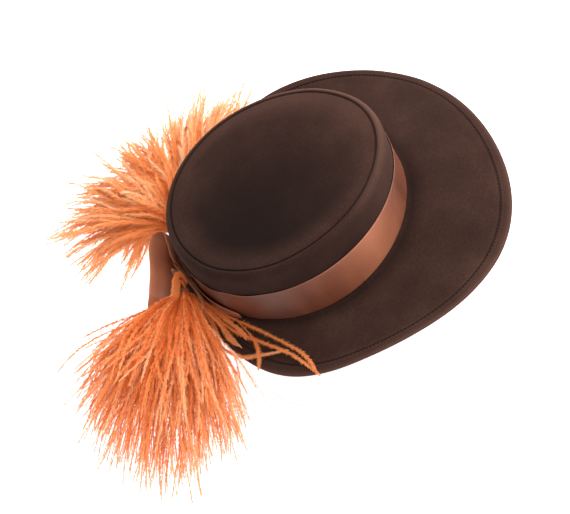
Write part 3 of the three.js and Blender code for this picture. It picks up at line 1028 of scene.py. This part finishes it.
def felt_material():
    paint = Paint("felt")
    place = paint.node("ShaderNodeTexCoord", output=3)
    cloudy = paint.noise(place, 24, 4, 0.6)
    fibres = paint.noise(place, 900, 3, 0.7)
    pile = paint.noise(place, 2600, 2, 0.6)
    shade = paint.node("ShaderNodeAttribute", {"attribute_name": "shade"}, output=2)
    tone = (cloudy * 0.45 + fibres * 0.55).clamped()
    brown = paint.node("ShaderNodeValToRGB", {"stops": [
        (0.3, srgb(33, 20, 17)), (0.5, srgb(47, 30, 25)), (0.72, srgb(64, 44, 37)),
    ]}, {"Fac": tone})
    # Painted light on the rubbed edges and the front left, painted shade in the crease and the tip's middle.
    rubbed_and_lit = paint.blend(shade * 0.5, brown, srgb(98, 70, 60))
    painted_shade = paint.blend(shade * -0.85, rubbed_and_lit, srgb(14, 8, 7))
    cells = {"Vector": place, "Scale": LINT["cells"]}
    speck, chance = paint.node("ShaderNodeTexVoronoi", {}, cells, (0, 1))
    lint = (speck < LINT["radius"]) * (chance > LINT["kept"]) * 0.6
    linted = paint.blend(lint, painted_shade, srgb(170, 160, 150))
    bump = paint.node("ShaderNodeBump", {}, {
        "Height": fibres * 0.6 + pile * 0.4, "Strength": 0.4, "Distance": 0.0005,
    })
    return paint.finish(paint.surface(
        Base_Color=linted, Roughness=0.95, Normal=bump, Specular_IOR_Level=0.06,
        Sheen_Weight=0.07, Sheen_Roughness=0.45, Sheen_Tint=(*srgb(200, 150, 130), 1),
    ))


felt = felt_material()
print("felt nodes:", len(felt.node_tree.nodes))

# %% [markdown]
# Satin shines because its threads float over one another, and it shines in soft bands where it ripples.
# The bands come from the shape, from slow bumps stretched up the ribbon, and from the shade mask, which
# paints highlights and paints shade into the folds. The weave runs along the ribbon's own map, and a light
# line follows each woven edge, a selvedge that is also a painted highlight.

# %% Satin
WEAVE = {"threads": 60, "edge": 0.025}


def satin_material():
    paint = Paint("satin")
    place = paint.node("ShaderNodeTexCoord", output=3)
    own = paint.node("ShaderNodeTexCoord", output=2)
    _, across = paint.node("ShaderNodeSeparateXYZ", {}, {"Vector": own}, (0, 1))
    cloudy = paint.noise(place, 40, 3)
    upright_place = paint.node("ShaderNodeMapping", {}, {"Vector": place, "Scale": (1, 1, 0.12)})
    ripple = paint.noise(upright_place, 70, 2)
    threads = paint.node("ShaderNodeTexWave", {"wave_type": "BANDS", "bands_direction": "Y"}, {
        "Vector": own, "Scale": WEAVE["threads"], "Distortion": 1.0, "Detail": 2, "Detail Scale": 12,
    })
    brown = paint.node("ShaderNodeValToRGB", {"stops": [
        (0.3, srgb(104, 55, 37)), (0.5, srgb(122, 68, 47)), (0.7, srgb(142, 84, 60)),
    ]}, {"Fac": cloudy * 0.5 + ripple * 0.5})
    shade = paint.node("ShaderNodeAttribute", {"attribute_name": "shade"}, output=2)
    # The shade mask paints highlights towards the light colour and shade in the folds towards the dark one.
    painted_lighter = paint.blend(shade, brown, srgb(188, 118, 86))
    darker = paint.blend(shade * -1, painted_lighter, srgb(58, 27, 19))
    # A light line along each woven edge: a selvedge, and a painted highlight on the edge.
    edge = (across < WEAVE["edge"]) + (across > 1 - WEAVE["edge"])
    selvedge_and_highlight = paint.blend(edge * 0.2, darker, srgb(150, 92, 70))
    bump = paint.node("ShaderNodeBump", {}, {
        "Height": ripple + threads * 0.04, "Strength": 0.5, "Distance": 0.0012,
    })
    return paint.finish(paint.surface(
        Base_Color=selvedge_and_highlight, Roughness=0.3 + 0.12 * cloudy, Normal=bump, Specular_IOR_Level=0.5,
    ))


satin = satin_material()
print("satin nodes:", len(satin.node_tree.nodes))

# %% [markdown]
# Light passes through ostrich fronds, so the shader is a mix of a matt surface and a glow.
# The colour runs from deep orange at the root to pale at the tips, and each frond has its own tone.

# %% Ostrich
GLOW = 0.42
TONE = {"along": 0.85, "fluff": 0.2, "chance": 0.55, "start": -0.02}


def ostrich_material(name, tones, glow_colour):
    paint = Paint(name)
    own = paint.node("ShaderNodeUVMap", {"uv_map": "frond"})
    along, chance = paint.node("ShaderNodeSeparateXYZ", {}, {"Vector": own}, (0, 1))
    fluff = paint.node("ShaderNodeAttribute", {"attribute_name": "fluff"}, output=2)
    own_tone = (chance - 0.5) * TONE["chance"]
    tone = (along * TONE["along"] + fluff * TONE["fluff"] + own_tone + TONE["start"]).clamped()
    stops = [(place, srgb(*colour)) for place, colour in tones]
    orange = paint.node("ShaderNodeValToRGB", {"stops": stops}, {"Fac": tone})
    matt = paint.surface(Base_Color=orange, Roughness=0.9, Specular_IOR_Level=0.05)
    glow = paint.node("ShaderNodeBsdfTranslucent", {}, {"Color": (*srgb(*glow_colour), 1)})
    return paint.finish(paint.node("ShaderNodeMixShader", {}, {0: GLOW, 1: matt, 2: glow}))


NEAR_TONES = [(0.0, (180, 76, 32)), (0.3, (234, 136, 72)), (0.65, (250, 172, 108)), (1.0, (253, 208, 158))]
FAR_TONES = [(0.0, (206, 104, 50)), (0.35, (245, 160, 96)), (0.7, (252, 190, 130)), (1.0, (254, 222, 180))]
STRAND_TONES = [(0.0, (214, 124, 62)), (0.4, (232, 152, 88)), (1.0, (246, 190, 134))]
WISP_TONES = [(0.0, (190, 140, 110)), (1.0, (205, 180, 160))]
ostrich = ostrich_material("ostrich", NEAR_TONES, (248, 164, 94))
ostrich_far = ostrich_material("ostrich_pale", FAR_TONES, (252, 190, 126))
ostrich_strand = ostrich_material("ostrich_strand", STRAND_TONES, (246, 160, 88))
ostrich_bare = ostrich_material("ostrich_bare", WISP_TONES, (215, 180, 155))
print("ostrich nodes:", len(ostrich.node_tree.nodes))

# %% [markdown]
# The stitches and the bindings are twisted thread. Fine noise between two tones is enough for it.

# %% Thread
def thread_material(name, dark, light):
    paint = Paint(name)
    place = paint.node("ShaderNodeTexCoord", output=3)
    twist = paint.noise(place, 1800, 2)
    tone = paint.blend(twist, srgb(*dark), srgb(*light))
    return paint.finish(paint.surface(Base_Color=tone, Roughness=0.7))


thread = thread_material("thread", (30, 18, 15), (62, 40, 33))
binding = thread_material("binding", (86, 38, 20), (128, 58, 28))

# %% [markdown]
# Every new piece takes its finish and the body that it rides on; the table also lists its slot of the record.
# The pieces stand for the plain solids of the model, which are then hidden.

# %% Finish and fit the pieces
PIECES = [
    # piece, finish, slot of the record, nodes that it stands for
    (crown, felt, "felt", ["crown"]),
    (brim, felt, "felt", ["brim"]),
    (stitches, thread, "felt", []),
    (band, satin, "satin_ribbon", ["hat_band"]),
    (loop, satin, "satin_ribbon", ["bow_loop"]),
    (tail, satin, "satin_ribbon", ["bow_tail"]),
    (knot, satin, "satin_ribbon", ["bow_knot"]),
    (right_layers[0], ostrich, "ostrich", ["plume_right"]),
    (right_layers[1], ostrich, "ostrich", []),
    (left_layers[0], ostrich_far, "ostrich", ["plume_left"]),
    (left_layers[1], ostrich_far, "ostrich", []),
    (strands, ostrich_strand, "ostrich", []),
    (wisps, ostrich_bare, "ostrich", []),
    (heads[0], binding, "ostrich", []),
    (heads[1], binding, "ostrich", []),
]
for piece, material, slot_name, nodes in PIECES:
    piece.data.materials.clear()
    piece.data.materials.append(material)
    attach(piece, "root")
    if nodes:
        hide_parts(*nodes)
print("triangles in all:", sum(len(p.data.loops) - 2 * len(p.data.polygons) for p, *_ in PIECES))

# %% [markdown]
# The floor is plain and pale, below the lowest frond, because the hat is held up as a head would hold it.
# It glows a little, as a light table does, so that it stays white and sends soft light up under the brim.
# A large soft lamp in front of the hat gives the modelling, and one over the wearer's right lights the crown.
# One from the left rims it, a weak one behind shines through the fronds, and a white sky fills the shadows.

# %% Floor and light
FLOOR_DEPTH = -150 * MM
FLOOR_GLOW = 0.55
SKY_STRENGTH = 0.7
bpy.ops.mesh.primitive_plane_add(size=12, location=(0, 0, FLOOR_DEPTH))
floor = bpy.context.object
floor.name = "floor"
floor_paint = Paint("floor_white")
floor.data.materials.append(floor_paint.finish(floor_paint.surface(
    Base_Color=(0.9, 0.9, 0.9, 1), Roughness=0.9, Emission_Color=(1, 1, 1, 1), Emission_Strength=FLOOR_GLOW,
)))

LAMPS = [
    # name, place, size, power
    ("key", Vector((0.2, -1.15, 0.85)), 0.8, 18),
    ("fill", Vector((-0.55, -0.55, 1.2)), 0.9, 17),
    ("rim", Vector((1.1, 0.3, 1.2)), 1.0, 10),
    ("back", Vector((-0.1, 1.3, 0.2)), 0.8, 1.5),
]
for name, place, size, power in LAMPS:
    lamp = bpy.data.objects.new(name, bpy.data.lights.new(name, "AREA"))
    bpy.context.scene.collection.objects.link(lamp)
    lamp.data.size = size
    lamp.data.energy = power
    lamp.location = place
    lamp.rotation_mode = "QUATERNION"
    lamp.rotation_quaternion = (-place).to_track_quat("-Z", "Y")

world = bpy.data.worlds.new("sky")
world.use_nodes = True
world.node_tree.nodes["Background"].inputs["Color"].default_value = (1, 1, 1, 1)
world.node_tree.nodes["Background"].inputs["Strength"].default_value = SKY_STRENGTH
bpy.context.scene.world = world
bpy.context.scene.view_settings.view_transform = "Standard"
print("lamps:", [name for name, *_ in LAMPS])
